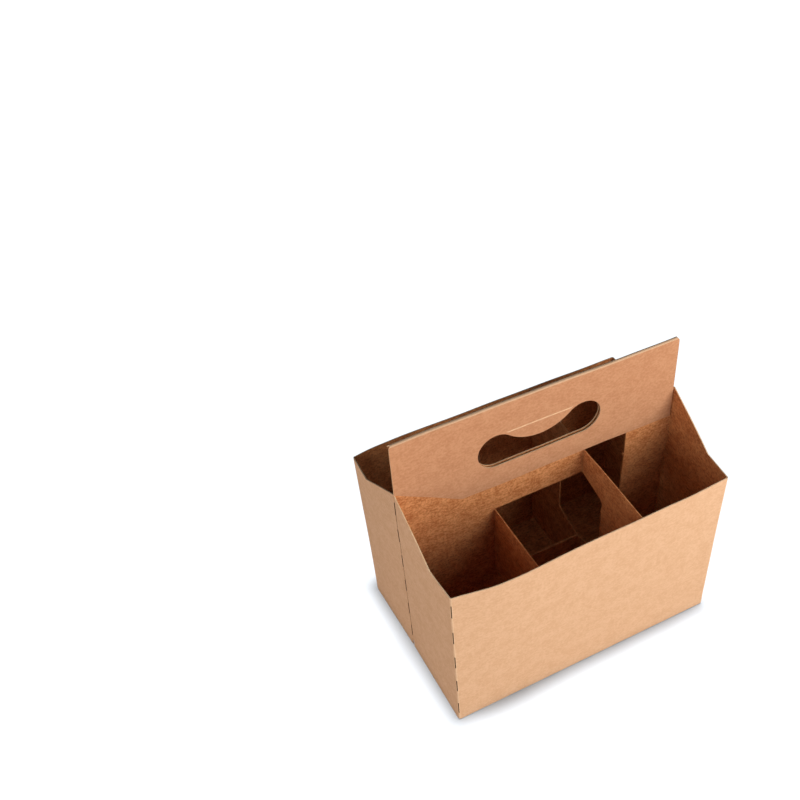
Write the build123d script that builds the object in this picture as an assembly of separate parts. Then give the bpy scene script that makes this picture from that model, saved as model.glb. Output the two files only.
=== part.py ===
from build123d import *
import os
from math import atan2, cos, sin

# Six-cell bottle carrier, folded and glued from one die-cut sheet of kraft board.
# Millimetres. X runs along the carrier, -Y is the front, +Z is up.
# The origin is the middle of the underside.

# Board and folds
board = 0.7
fold_inner = 0.5

# Outer walls
carrier_length = 200.0
carrier_width = 133.4
wall_height = 134.5
end_peak_height = 159.5
shoulder_width = 23.5
end_floor_gap = 0.3

# Handle, folded over the webs
handle_height = 202.0
handle_corner = 2.5
handle_edge_gap = 0.3
handle_slope_run = 43.0
handle_lap_gap = 0.5

# Handle hole and its finger flap
hole_length = 87.0
hole_height = 26.0
hole_margin = 24.0
finger_flap_drop = 12.2
finger_crease_inset = 0.7
finger_crease_width = 44.0

# Webs between the two rows of cells
web_floor_gap = 5.0
web_lap = 13.0
right_web_width = 34.5

# Dividers, the windows they leave and their glue tabs
divider_spacing = 66.7
divider_floor = 47.0
low_divider_top = 113.0
high_divider_top = 134.0
tab_length = 24.0
tab_taper = 6.0
tab_corner = 3.0

# Bottom panel
notch_depth = 3.5
notch_half_width = 7.0
score_width = 1.2
score_depth = 0.2

# Slits along the folds
slit_width = 0.5
slit_length = 12.0
finger_slit_length = 3.5
corner_slit_count = 5
centre_slit_count = 6
bottom_slit_count = 7
finger_slit_count = 6

# Holding nicks left by the cutting die
nick_reach = 1.0
nick_height = 0.8
divider_nick_share = 0.75
web_nick_share = 0.76

# Overrun of every cut past the board
overrun = 5.0

# Degrees in a quarter turn
quarter_turn = 90

# Sizes that follow from the ones above
half_length = carrier_length / 2
half_width = carrier_width / 2
fold_outer = fold_inner + board
fold_x = half_length - fold_outer
corner_fold_y = -half_width + fold_outer
centre_fold_y = -board - fold_inner
panel_inner_y = -half_width + board
tab_fold_y = panel_inner_y + fold_outer
handle_face = 2 * board
handle_floor = high_divider_top + handle_lap_gap
handle_side = fold_x - handle_edge_gap
web_top = handle_floor + web_lap
right_web_edge = half_length - right_web_width
low_divider_x = -(divider_spacing + board) / 2
high_divider_x = (divider_spacing - board) / 2
hole_radius = hole_height / 2
hole_top = handle_height - hole_margin
hole_floor = hole_top - hole_height


def outline_of(*points):
    """The flat face inside a closed run of straight edges."""
    return make_face(Polyline(*points, close=True))


def span(low_u, high_u, low_v, high_v):
    """The flat rectangle between two values of each of its directions."""
    return outline_of((low_u, low_v), (high_u, low_v), (high_u, high_v), (low_u, high_v))


def long_sheet(outline, y_front):
    """A board that stands along X, from an outline in X and Z, with its front face at y_front."""
    plane = Plane(origin=(0, y_front, 0), x_dir=(1, 0, 0), z_dir=(0, -1, 0))
    return extrude(plane * outline, -board)


def cross_sheet(outline, x_left):
    """A board that stands along Y, from an outline in Y and Z, with its left face at x_left."""
    plane = Plane(origin=(x_left, 0, 0), x_dir=(0, 1, 0), z_dir=(1, 0, 0))
    return extrude(plane * outline, board)


def fold_section():
    """A quarter ring, the board's section where it is folded through a right angle."""
    quadrant = Rectangle(fold_outer, fold_outer, align=(Align.MIN, Align.MIN))
    return (Circle(fold_outer) - Circle(fold_inner)) & quadrant


def upright_fold(x, y, quarters, low, high):
    """An upright fold about the line at x, y, with its quarter ring turned by some quarter turns."""
    return Pos(x, y, low) * extrude(Rot(0, 0, quarters * quarter_turn) * fold_section(), high - low)


def slit_fold(x, y, quarters, low, high, count):
    """An upright fold with slits spaced along it, each cut through the middle of its quarter ring."""
    pitch = (high - low) / count
    slit = Box(fold_outer + overrun, slit_width, slit_length, align=(Align.MIN, Align.CENTER, Align.CENTER))
    middle = Rot(0, 0, (quarters + 1 / 2) * quarter_turn)
    slits = [Pos(x, y, low + pitch * (index + 1 / 2)) * middle * slit for index in range(count)]
    return upright_fold(x, y, quarters, low, high) - slits


def level_slits(y, z, quarters, width, count, length):
    """Slits spaced along X over a width about the middle, each turned about X by some quarter turns."""
    pitch = width / count
    slit = Box(length, slit_width, fold_outer + overrun, align=(Align.CENTER, Align.CENTER, Align.MIN))
    places = [pitch * (index + 1 / 2) - width / 2 for index in range(count)]
    return [Pos(x, y, z) * Rot(quarters * quarter_turn, 0, 0) * slit for x in places]


def front_panel():
    """The tall panel on the front side."""
    return long_sheet(span(-fold_x, fold_x, fold_outer, wall_height), -half_width)


def end_half(x_left):
    """One half of an end wall: level beside the corner, then rising to the centre line."""
    outline = outline_of(
        (corner_fold_y, fold_outer),
        (corner_fold_y + fold_outer, end_floor_gap),
        (centre_fold_y, end_floor_gap),
        (centre_fold_y, end_peak_height),
        (-half_width + shoulder_width, wall_height),
        (corner_fold_y, wall_height),
    )
    return cross_sheet(outline, x_left)


def end_wall(side):
    """The front half of one end, with its corner fold and the centre fold into its web."""
    x_left = -half_length if side < 0 else half_length - board
    corner_turns = 2 if side < 0 else 3
    centre_turns = 1 if side < 0 else 0
    x = side * fold_x
    corner = slit_fold(x, corner_fold_y, corner_turns, fold_outer, wall_height, corner_slit_count)
    centre = slit_fold(x, centre_fold_y, centre_turns, web_floor_gap, end_peak_height, centre_slit_count)
    return end_half(x_left) + corner + centre


def left_web():
    """The web from the left end to the hinge of the high divider, round the wide window."""
    hinge_x = high_divider_x - fold_inner
    outline = outline_of(
        (-fold_x, web_floor_gap),
        (hinge_x, web_floor_gap),
        (hinge_x, web_top),
        (-handle_side + handle_slope_run, web_top),
        (-fold_x, end_peak_height),
    )
    window = span(low_divider_x - fold_inner, hinge_x, divider_floor, low_divider_top)
    return long_sheet(outline - window, -board)


def right_web():
    """The web from the right end to the tall window, lapped by the handle above it."""
    outline = outline_of(
        (right_web_edge, web_floor_gap),
        (fold_x, web_floor_gap),
        (fold_x, end_peak_height),
        (right_web_edge, web_top),
    )
    nick_low = divider_floor + (high_divider_top - divider_floor) * web_nick_share
    nick = span(right_web_edge - nick_reach, right_web_edge, nick_low, nick_low + nick_height)
    return long_sheet(outline + nick, -board)


def tab_outline(root, far, low, top):
    """A glue tab's face: tapered from its root to its far end, with both far corners rounded."""
    face = outline_of((root, low), (far, low + tab_taper), (far, top - tab_taper), (root, top))
    far_corners = face.vertices().group_by(Axis.X)[-1 if far > root else 0]
    return fillet(far_corners, tab_corner)


def glue_tab(divider_x, low, top):
    """A tab on the inside of the front panel, with the fold that joins it to its divider."""
    near = divider_x + fold_outer
    tab = long_sheet(tab_outline(near, near + tab_length, low, top), panel_inner_y)
    return tab + upright_fold(near, tab_fold_y, 2, low, top)


def hinge(divider_x, low, top):
    """A stretch of the fold by which a divider hangs on its web."""
    return upright_fold(divider_x - fold_inner, centre_fold_y, 0, low, top)


def tab_cutout():
    """The hole that the low divider's glue tab leaves beside the high divider's hinge."""
    far_y = centre_fold_y - tab_length
    nick_low = divider_floor + (low_divider_top - divider_floor) * divider_nick_share
    nick = span(far_y, far_y + nick_reach, nick_low, nick_low + nick_height)
    return tab_outline(centre_fold_y, far_y, divider_floor, low_divider_top) - nick


def low_divider():
    """The left divider, folded forwards out of the wide window."""
    low, top = divider_floor, low_divider_top
    sheet = cross_sheet(span(tab_fold_y, centre_fold_y, low, top), low_divider_x)
    return sheet + hinge(low_divider_x, low, top) + glue_tab(low_divider_x, low, top)


def high_divider():
    """The right divider, as deep as its web and hinged to it above and below the wide window."""
    low, top = web_floor_gap, high_divider_top
    sheet = cross_sheet(span(tab_fold_y, centre_fold_y, low, top) - tab_cutout(), high_divider_x)
    hinges = hinge(high_divider_x, low, divider_floor) + hinge(high_divider_x, low_divider_top, top)
    return sheet + hinges + glue_tab(high_divider_x, low, top)


def front_half():
    """Everything of the carrier in front of the centre plane, apart from handle and bottom."""
    walls = front_panel() + end_wall(-1) + end_wall(1)
    return walls + left_web() + right_web() + low_divider() + high_divider()


def hole_outline():
    """The handle hole: two round lobes joined by a straight floor and the arc of the finger flap.

    The arc's radius is the one at which it touches both lobes without a corner.
    """
    lobe_x = hole_length / 2 - hole_radius
    lobe_z = hole_floor + hole_radius
    lowest_z = hole_top - finger_flap_drop
    rise = lowest_z - lobe_z
    arc_radius = (lobe_x**2 + rise**2 - hole_radius**2) / (2 * (hole_radius - rise))
    touch = atan2(lowest_z + arc_radius - lobe_z, lobe_x)
    touch_x = lobe_x - hole_radius * cos(touch)
    touch_z = lobe_z + hole_radius * sin(touch)
    edges = [
        Line((-lobe_x, hole_floor), (lobe_x, hole_floor)),
        ThreePointArc((lobe_x, hole_floor), (lobe_x + hole_radius, lobe_z), (touch_x, touch_z)),
        ThreePointArc((touch_x, touch_z), (0, lowest_z), (-touch_x, touch_z)),
        ThreePointArc((-touch_x, touch_z), (-lobe_x - hole_radius, lobe_z), (-lobe_x, hole_floor)),
    ]
    return make_face(edges)


def handle_outline():
    """The handle's face in X and Z, with rounded top corners and a lower edge that slopes up at the left.

    The left side stands over the left end's peak, and the right side runs down inside the right end.
    """
    shelf_z = end_peak_height + handle_edge_gap
    face = outline_of(
        (-handle_side + handle_slope_run, handle_floor),
        (handle_side, handle_floor),
        (handle_side, handle_height),
        (-half_length, handle_height),
        (-half_length, shelf_z),
        (-handle_side, shelf_z),
    )
    top_corners = face.vertices().group_by(Axis.Y)[-1]
    return fillet(top_corners, handle_corner) - hole_outline()


def handle_section():
    """The handle's section in Y and Z: two plies joined by the fold along the top edge."""
    bend_z = handle_height - handle_face
    outer = span(-handle_face, handle_face, handle_floor, bend_z) + Pos(0, bend_z) * Circle(handle_face)
    inner = span(-board, board, handle_floor - overrun, bend_z) + Pos(0, bend_z) * Circle(board)
    return outer - inner


def handle():
    """The two plies of the handle, with the hole through both and a slit crease over the finger flap."""
    plies = extrude(Plane.YZ.offset(-half_length) * handle_section(), half_length + handle_side)
    plies &= extrude(Plane.XZ * handle_outline(), handle_face + overrun, both=True)
    crease_z = hole_top - finger_crease_inset
    slits = level_slits(0, crease_z, 1, finger_crease_width, finger_slit_count, finger_slit_length)
    slits += level_slits(0, crease_z, -1, finger_crease_width, finger_slit_count, finger_slit_length)
    return plies - slits


def bottom_outline():
    """The bottom panel's face in X and Y, notched where its centre crease meets the free ends."""
    face = span(-fold_x, fold_x, corner_fold_y, -corner_fold_y)
    for side in (-1, 1):
        tip = (side * (fold_x - notch_depth), 0)
        face -= outline_of((side * fold_x, -notch_half_width), tip, (side * fold_x, notch_half_width))
    return face


def bottom():
    """The bottom panel with its scored centre crease and the slit folds up to the front and back."""
    panel = extrude(bottom_outline(), board)
    panel -= Pos(0, 0, board) * Box(carrier_length, score_width, 2 * score_depth)
    panel -= level_slits(0, -overrun, 0, 2 * fold_x, bottom_slit_count, slit_length)
    ring = Rot(0, 0, 2 * quarter_turn) * fold_section()
    front_fold = Pos(0, corner_fold_y, fold_outer) * extrude(Plane.YZ.offset(-fold_x) * ring, 2 * fold_x)
    front_fold -= level_slits(corner_fold_y, fold_outer, 3 / 2, 2 * fold_x, bottom_slit_count, slit_length)
    return panel + front_fold + mirror(front_fold, Plane.XZ)


def carrier():
    """The whole folded and glued sheet."""
    front = front_half()
    return handle() + bottom() + front + mirror(front, Plane.XZ)


os.makedirs("parts", exist_ok=True)
export_step(carrier(), "parts/carrier.step")
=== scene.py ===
"""A six-cell bottle carrier of folded kraft board, dressed for a studio view.

The carrier is one thin sheet, so it is made as a sheet. Each run of board is a grid of two
parameters, how far along the run and how far up it. The grids are welded along their common edges,
settled into the slightly bowed shape of a carrier that has been set up by hand, and then given the
thickness of the board.
"""
import logging
from dataclasses import dataclass, field, replace
from enum import Enum, IntEnum
from functools import reduce
from math import atan2, cos, pi, radians, sin
from typing import Sequence

import bpy
import numpy as np
from mathutils import Matrix, Vector
from numpy.typing import NDArray


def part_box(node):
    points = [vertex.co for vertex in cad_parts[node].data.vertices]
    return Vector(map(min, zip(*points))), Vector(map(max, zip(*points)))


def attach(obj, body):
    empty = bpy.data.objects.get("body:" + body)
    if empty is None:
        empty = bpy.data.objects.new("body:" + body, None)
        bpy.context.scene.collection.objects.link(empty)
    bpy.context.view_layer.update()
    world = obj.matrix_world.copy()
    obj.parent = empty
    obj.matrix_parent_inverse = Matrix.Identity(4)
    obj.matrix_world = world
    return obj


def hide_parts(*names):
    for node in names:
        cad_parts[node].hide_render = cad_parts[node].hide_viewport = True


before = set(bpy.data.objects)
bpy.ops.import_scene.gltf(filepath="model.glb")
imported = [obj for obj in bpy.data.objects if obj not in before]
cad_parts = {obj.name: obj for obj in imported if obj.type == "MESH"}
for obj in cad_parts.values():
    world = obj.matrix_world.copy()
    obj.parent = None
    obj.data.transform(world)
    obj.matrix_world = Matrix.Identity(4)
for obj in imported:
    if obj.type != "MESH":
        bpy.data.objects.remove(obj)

Array = NDArray[np.float64]
Mask = NDArray[np.bool_]
Colour = tuple[float, float, float]
Stretch = tuple[float, float, float]
Socket = bpy.types.NodeSocket

LOG = logging.getLogger("carrier")
NODE = "carrier"
BODY = "root"
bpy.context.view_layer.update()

FLAT_MAP = "flat_sheet"
# The fold mark paints folds paler: partly the rub of a folded board, partly painted highlight on the
# handle's top fold and crease and along the walls' top edge.
FOLD_MARK = "fold"
QUARTER = pi / 2
SHARP_ANGLE = radians(38)

# Points closer than this are one point. The offset keeps round values off the edge of a rounding.
# Grid lines are rounded to so many places.
WELD = 1e-6
WELD_OFFSET = 0.25
LINE_PLACES = 8

# Steps of a fold, and those that a slit or a groove takes up. The centre folds' count from the web.
FOLD_STEPS = 6
BOTTOM_STEPS = (1, 2, 3, 4)
CORNER_STEPS = (2, 3)
CENTRE_STEPS = (0, 1, 2, 3)
GROOVE_STEPS = (0, 1, 2)

# Places of the runs on the flat sheet, in metres, so that no two of them share their grain.
BOTTOM_PLACE = 0.3
WEB_PLACE = 0.4
LOW_PLACE = 0.8
HIGH_PLACE = 1.0
HANDLE_PLACE = 1.4
BACK_PLACE = 2.0

# Sockets of Blender's mix node that are used when it mixes colours.
MIX_SHARE = 0
MIX_COLOURS = slice(6, 8)
MIX_RESULT = 2

SCALE_INPUTS = ("Cloud Scale", "Grain Scale", "Strand Scale")
NOISE_INPUTS = ("Vector", "Scale", "Detail", "Roughness")


class Face(IntEnum):
    """The finishes of a sheet, in the order of its material slots."""

    OUTER = 0
    INNER = 1
    CUT = 2
    # Floors and walls of the body's slit grooves: painted shade, the dark of the cells behind the slits.
    PAINTED_SHADE = 3


class Divider(Enum):
    """The two dividers of each row of cells."""

    LOW = "low"
    HIGH = "high"


def srgb(red: int, green: int, blue: int) -> Colour:
    """Linear colour of a display colour.

    Args:
        red: Red in steps of 0 to 255.
        green: Green.
        blue: Blue.

    Returns:
        The colour that Blender's sockets take.
    """
    share = np.array([red, green, blue]) / 255
    linear = np.where(share <= 0.04045, share / 12.92, ((share + 0.055) / 1.055) ** 2.4)
    return tuple(float(value) for value in linear)


def rule(low: float, high: float, pitch: float, stops: Sequence[float] = ()) -> Array:
    """Grid lines that pass through every stop and are never further apart than the pitch.

    Args:
        low: First line.
        high: Last line.
        pitch: Widest gap between two lines.
        stops: Lines that have to be there, if they lie between low and high.

    Returns:
        The lines in rising order.
    """
    inside = [stop for stop in stops if low < stop < high]
    knots = np.unique(np.round([low, *inside, high], LINE_PLACES))
    counts = np.maximum(1, np.ceil(np.diff(knots) / pitch - WELD)).astype(int)
    runs = [np.linspace(a, b, n, endpoint=False) for a, b, n in zip(knots[:-1], knots[1:], counts)]
    return np.append(np.concatenate(runs), knots[-1])


def slit_spans(low: float, high: float, count: int, length: float) -> Array:
    """Start and stop of evenly spaced slits: each is centred in its own share of the run.

    Args:
        low: Start of the run.
        high: End of the run.
        count: Number of slits.
        length: Length of each slit.

    Returns:
        One row of start and stop for each slit.
    """
    middle = low + (high - low) * (np.arange(count) + 0.5) / count
    return np.column_stack([middle - length / 2, middle + length / 2])


def within(value: Array, spans: Array) -> Mask:
    """True where a value lies inside one of the spans."""
    spread = value[..., None]
    return ((spread > spans[:, 0]) & (spread < spans[:, 1])).any(axis=-1)


def between(lines: Array) -> Array:
    """Middles of the gaps between neighbouring lines."""
    return (lines[:-1] + lines[1:]) / 2


def cell_corners(grid: NDArray) -> list[NDArray]:
    """Values of a grid at the first, second, third and fourth corner of every cell, going round it."""
    return [grid[:-1, :-1], grid[1:, :-1], grid[1:, 1:], grid[:-1, 1:]]


def middles(grid: Array) -> Array:
    """Mean of the four corners of every cell of a grid of values."""
    return np.mean(cell_corners(grid), axis=0)


@dataclass(frozen=True)
class Blank:
    """Sizes of the folded sheet, in metres."""

    length: float
    width: float
    height: float
    board: float = 0.0007
    glue_line: float = 0.00004
    fold_inner: float = 0.0005
    wall_height: float = 0.1345
    end_peak: float = 0.1595
    shoulder: float = 0.0235
    end_gap: float = 0.0003
    web_gap: float = 0.005
    web_lap: float = 0.013
    right_web: float = 0.0345
    divider_pitch: float = 0.0667
    divider_floor: float = 0.047
    low_top: float = 0.113
    high_top: float = 0.134
    tab: float = 0.024
    taper: float = 0.006
    tab_corner: float = 0.003
    lap_gap: float = 0.0005
    edge_gap: float = 0.0003
    slope_run: float = 0.043
    slit: float = 0.012
    slit_width: float = 0.0005
    nick: float = 0.001
    nick_height: float = 0.0008
    divider_nick_share: float = 0.75
    web_nick_share: float = 0.76
    corner_slits: int = 5
    centre_slits: int = 6
    bottom_slits: int = 7
    pitch: float = 0.0055
    peak_step: float = 0.2
    guard: float = 0.0004
    # Depth of the painted highlight along the walls' top edge, drawn with the fold mark.
    top_edge_highlight: float = 0.0006

    @classmethod
    def from_frame(cls) -> "Blank":
        """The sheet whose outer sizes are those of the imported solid."""
        low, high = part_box(NODE)
        return cls(length=high.x - low.x, width=high.y - low.y, height=high.z - low.z)

    @property
    def thickness(self) -> float:
        """The board less the glue line that keeps touching runs apart."""
        return self.board - self.glue_line

    @property
    def fold_outer(self) -> float:
        """Outer radius of a fold."""
        return self.fold_inner + self.board

    @property
    def fold_mid(self) -> float:
        """Radius of the middle of the board in a fold."""
        return self.fold_inner + self.board / 2

    @property
    def fold_x(self) -> float:
        """Distance of the end folds' centre lines from the middle."""
        return self.length / 2 - self.fold_outer

    @property
    def corner_y(self) -> float:
        """Where the centre lines of the front corner folds stand."""
        return -self.width / 2 + self.fold_outer

    @property
    def centre_y(self) -> float:
        """Where the centre lines of the folds into the webs stand."""
        return -self.fold_outer

    @property
    def shoulder_y(self) -> float:
        """Where the top of an end half starts to rise."""
        return -self.width / 2 + self.shoulder

    @property
    def tab_fold_y(self) -> float:
        """Where the centre lines of the glue tabs' folds stand."""
        return -self.width / 2 + self.board + self.fold_outer

    @property
    def right_edge(self) -> float:
        """Left edge of the right web."""
        return self.length / 2 - self.right_web

    @property
    def handle_floor(self) -> float:
        """Lower edge of the handle."""
        return self.high_top + self.lap_gap

    @property
    def handle_side(self) -> float:
        """Distance of the handle's sides from the middle."""
        return self.fold_x - self.edge_gap

    @property
    def corner_spans(self) -> Array:
        """Slits along the corner folds."""
        return slit_spans(self.fold_outer, self.wall_height, self.corner_slits, self.slit)

    @property
    def centre_spans(self) -> Array:
        """Slits along the centre folds of the ends."""
        return slit_spans(self.web_gap, self.end_peak, self.centre_slits, self.slit)

    @property
    def groove_span(self) -> Array:
        """Stretch of the groove between the two halves of an end, whose floor and walls take painted shade.
        """
        return np.array([[self.web_gap + self.pitch, self.end_peak - self.pitch]])

    @property
    def bottom_spans(self) -> Array:
        """Slits along the bottom folds and the bottom crease."""
        return slit_spans(-self.fold_x, self.fold_x, self.bottom_slits, self.slit)

    @property
    def web_nick_low(self) -> float:
        """Underside of the holding nick on the right web."""
        return self.divider_floor + (self.high_top - self.divider_floor) * self.web_nick_share

    @property
    def divider_nick(self) -> Array:
        """Underside and top of the holding nick in the high divider's cut-out."""
        low = self.divider_floor + (self.low_top - self.divider_floor) * self.divider_nick_share
        return np.array([low, low + self.nick_height])

    @property
    def nick_rows(self) -> Array:
        """Levels that the cut-out's far edge draws together to the underside and top of its nick."""
        tall, drawn = self.low_top - self.divider_floor, self.taper + self.tab_corner
        above = self.divider_nick - self.divider_floor - drawn
        return self.divider_floor + above * tall / (tall - 2 * drawn)

    def divider_x(self, which: Divider) -> float:
        """Left face of a divider."""
        middle = self.divider_pitch / 2
        return (-middle if which is Divider.LOW else middle) - self.board / 2

    def divider_span(self, which: Divider) -> tuple[float, float]:
        """Lower and upper edge of a divider."""
        return (self.divider_floor, self.low_top) if which is Divider.LOW else (self.web_gap, self.high_top)

    def hinge_x(self, which: Divider) -> float:
        """Where a divider's hinge leaves its web."""
        return self.divider_x(which) - self.fold_inner

    def levels(self) -> Array:
        """Heights of the grid lines that all upright runs share.

        Returns:
            Heights from the gap over the bottom to the top of the walls.
        """
        stops = [
            *self.corner_spans.ravel(), *self.centre_spans.ravel(), self.divider_floor, self.low_top,
            self.high_top, *self.nick_rows, self.web_nick_low, self.web_nick_low + self.nick_height,
            self.wall_height - self.top_edge_highlight,
        ]
        return rule(self.web_gap, self.wall_height, self.pitch, stops)

    def peak_shares(self) -> Array:
        """Grid lines of the ends and webs above the top of the walls.

        Returns:
            Shares of the rise from there to the end's own top.
        """
        rise = self.end_peak - self.wall_height
        stops = (self.centre_spans[-1] - self.wall_height) / rise
        return rule(0, 1, self.peak_step, stops)[1:]

    def tab_lines(self) -> Array:
        """Distances from a glue tab's root at which it has grid lines, closer round its far corners."""
        swing = 1 - np.sin(np.linspace(0, QUARTER, FOLD_STEPS))
        return rule(0, self.tab, self.pitch, [self.guard, *(self.tab - self.tab_corner * swing)])

    def tab_trim(self, away: Array) -> Array:
        """How far a glue tab's edges have come in: a straight taper, then a circle round the corner.

        Args:
            away: Distances from the tab's root.

        Returns:
            How far each edge has come in there.
        """
        past = np.clip(away - (self.tab - self.tab_corner), 0, self.tab_corner)
        corner = self.tab_corner - np.sqrt(self.tab_corner**2 - past**2)
        return self.taper * np.clip(away / self.tab, 0, 1) + corner

    def front_lines(self) -> Array:
        """Grid lines along the length, shared by the front panel and the bottom."""
        stops = [*self.bottom_spans.ravel(), -self.fold_x + self.guard, self.fold_x - self.guard]
        return rule(-self.fold_x, self.fold_x, self.pitch, stops)


@dataclass(frozen=True)
class Path:
    """A run of the sheet drawn in a plane, with one station for each column of its grid."""

    points: Array
    run: NDArray[np.int_]
    step: NDArray[np.int_]

    @classmethod
    def through(cls, *stretches: Array) -> "Path":
        """Joins stretches end to end.

        Args:
            stretches: Rows of points. Each stretch starts where the one before it ends.

        Returns:
            The path, with each cell's stretch and its step along that stretch.
        """
        points = np.concatenate([stretches[0], *[stretch[1:] for stretch in stretches[1:]]])
        cells = [len(stretch) - 1 for stretch in stretches]
        run = np.repeat(np.arange(len(stretches)), cells)
        step = np.concatenate([np.arange(count) for count in cells])
        return cls(points, run, step)

    @property
    def travel(self) -> Array:
        """Distance of each station from the start, along the sheet."""
        return np.append(0, np.cumsum(np.linalg.norm(np.diff(self.points, axis=0), axis=1)))

    def slit_cells(self, steps: Sequence[int], *runs: int) -> Mask:
        """True for the cells at some steps of the folds that are the given stretches."""
        return np.isin(self.run, runs) & np.isin(self.step, steps)

    def fold_mark(self, *runs: int) -> Array:
        """One at the stations inside the folds that are the given stretches, and nought elsewhere."""
        cells = np.isin(self.run, runs).astype(float)
        return np.minimum(np.append(cells[:1], cells), np.append(cells, cells[-1:]))


def quarter(centre: tuple[float, float], start: float, stop: float, radius: float) -> Array:
    """Points of a fold: a circle's arc between two angles, in equal steps.

    Args:
        centre: Centre of the arc.
        start: First angle in quarter turns.
        stop: Last angle in quarter turns.
        radius: Radius of the middle of the board.

    Returns:
        The points of the arc.
    """
    angle = np.linspace(start, stop, FOLD_STEPS + 1) * QUARTER
    return np.array(centre) + radius * np.column_stack([np.cos(angle), np.sin(angle)])


@dataclass
class Patch:
    """A grid of points on the middle of the board, with its place on the flat sheet.

    A cell is kept or left out, and a kept cell may be slit. A fold shuts its slits on the inside, so a
    slit is a deep groove in the outer face. The free edges of a patch have one finish.
    """

    points: Array
    flat: Array
    keep: Mask
    fold: Array
    slit: Mask
    rim: Face

    @classmethod
    def make(
        cls, points: Array, flat: Array, keep: Mask, fold: Array | None = None, slit: Mask | None = None,
        rim: Face = Face.CUT,
    ) -> "Patch":
        """A patch with no fold mark, no slits and plain cut edges unless they are given."""
        fold = np.zeros(points.shape[:2]) if fold is None else fold
        return cls(points, flat, keep, fold, np.zeros_like(keep) if slit is None else slit, rim)

    def mirrored(self, axis: int, shift: float) -> "Patch":
        """The patch on the other side of the middle plane across an axis.

        The columns are taken in reverse, so that the outer face still points outwards.

        Args:
            axis: The axis whose sign changes.
            shift: How far its place on the flat sheet moves, so that the grain differs.

        Returns:
            The mirrored patch.
        """
        sign = np.ones(3)
        sign[axis] = -1
        turned = self.points[::-1] * sign
        flat, keep, fold, slit = self.flat[::-1] + shift, self.keep[::-1], self.fold[::-1], self.slit[::-1]
        return Patch(turned, flat, keep, fold, slit, self.rim)


@dataclass(frozen=True)
class Bow:
    """A smooth line through a few values: straight runs between them, rounded by a soft window."""

    at: tuple[float, ...]
    value: tuple[float, ...]
    window: float = 0.022
    spacing: float = 0.0005

    def __call__(self, place: Array) -> Array:
        """Value of the line at each place.

        Args:
            place: Places along the line.

        Returns:
            The values there.
        """
        fine = np.arange(min(self.at) - self.window, max(self.at) + self.window, self.spacing)
        weight = np.hanning(int(self.window / self.spacing) | 1)
        rough = np.interp(fine, self.at, self.value)
        padded = np.pad(rough, len(weight) // 2, mode="edge")
        return np.interp(place, fine, np.convolve(padded, weight / weight.sum(), mode="valid"))


@dataclass(frozen=True)
class Wall:
    """How far one wall moves: a line along its foot and a line along its top."""

    foot: Bow
    top: Bow

    def __call__(self, along: Array, rise: Array) -> Array:
        """Move at places along the wall, each at its own share of the way from foot to top."""
        low = self.foot(along)
        return low + rise * (self.top(along) - low)


@dataclass(frozen=True)
class Settle:
    """How far the sheet of a set-up carrier moves off its true planes.

    The front and back panels bow outwards between the folds that hold them, the ends lean a
    little, and the webs stand slightly askew, with the handle leaning back above them. A move is
    strongest on its own wall and fades in a straight line to nothing at the next one, so that what
    joins them follows.
    """

    blank: Blank
    front: Wall = Wall(
        foot=Bow((-0.100, 0.100), (0.0010, -0.0006)),
        top=Bow(
            (-0.100, -0.087, -0.072, -0.050, -0.020, 0.070, 0.100),
            (0.0012, -0.0015, -0.0041, -0.0050, -0.0035, -0.0035, -0.0023),
        ),
    )
    back: Wall = Wall(
        foot=Bow((-0.100, 0.100), (-0.0045, -0.0030)),
        top=Bow(
            (-0.100, -0.088, -0.065, -0.040, 0.026, 0.065, 0.100),
            (0.0017, 0.0035, 0.0041, 0.0030, 0.0015, 0.0001, -0.0010),
        ),
    )
    middle: Wall = Wall(
        foot=Bow(
            (-0.100, -0.065, -0.032, 0.034, 0.065, 0.100),
            (0.0032, 0.0012, -0.0004, -0.0006, -0.0014, -0.0030),
        ),
        top=Bow(
            (-0.100, -0.065, -0.040, 0.0, 0.030, 0.060, 0.100),
            (0.0030, 0.0028, 0.0020, 0.0010, -0.0002, -0.0014, -0.0021),
        ),
    )
    left: Wall = Wall(
        foot=Bow((-0.067, 0.0, 0.067), (0.0010, 0.0010, -0.0002)),
        top=Bow((-0.067, -0.044, 0.0, 0.046, 0.067), (0.0011, -0.0002, -0.0004, -0.0017, -0.0010)),
    )
    right: Wall = Wall(
        foot=Bow((-0.067, 0.067), (-0.0016, 0.0)),
        top=Bow((-0.067, -0.041, 0.0, 0.067), (-0.0014, 0.0010, 0.0019, 0.0012)),
    )
    swell_power: float = 1.4
    ripple: float = 0.00012
    ripple_length: float = 0.047
    ripple_sway: float = 3.0
    ripple_phase: float = 1.5
    ripple_stretch: tuple[float, float] = (2.0, 3.0)

    def __call__(self, points: Array) -> Array:
        """Moves points of the true shape.

        Args:
            points: Rows of X, Y and Z.

        Returns:
            The same rows in the settled shape.
        """
        x, y, z = points.T
        rise = np.clip(z / self.blank.wall_height, 0, 1)
        reach_y = self.blank.width / 2 - self.blank.board / 2
        front, back = np.clip(-y / reach_y, 0, 1), np.clip(y / reach_y, 0, 1)
        middle = 1 - front - back
        left, right = np.clip(-x / self.blank.fold_x, 0, 1), np.clip(x / self.blank.fold_x, 0, 1)
        swell = rise**self.swell_power
        lean = np.clip((z - self.blank.low_top) / (self.blank.height - self.blank.low_top), 0, 1)
        move_y = middle * self.middle(x, lean) + front * self.front(x, swell) + back * self.back(x, swell)
        move_x = left * self.left(y, swell) + right * self.right(y, swell)
        turn = 2 * pi / self.ripple_length
        slow, slower = (turn * z / stretch for stretch in self.ripple_stretch)
        move_y += self.ripple * rise * np.sin(turn * x + self.ripple_sway * np.sin(slow)) * np.cos(slower)
        move_x += self.ripple * rise * np.sin(turn * y + self.ripple_phase) * np.cos(slow)
        return points + np.column_stack([move_x, move_y, np.zeros_like(z)])


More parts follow.
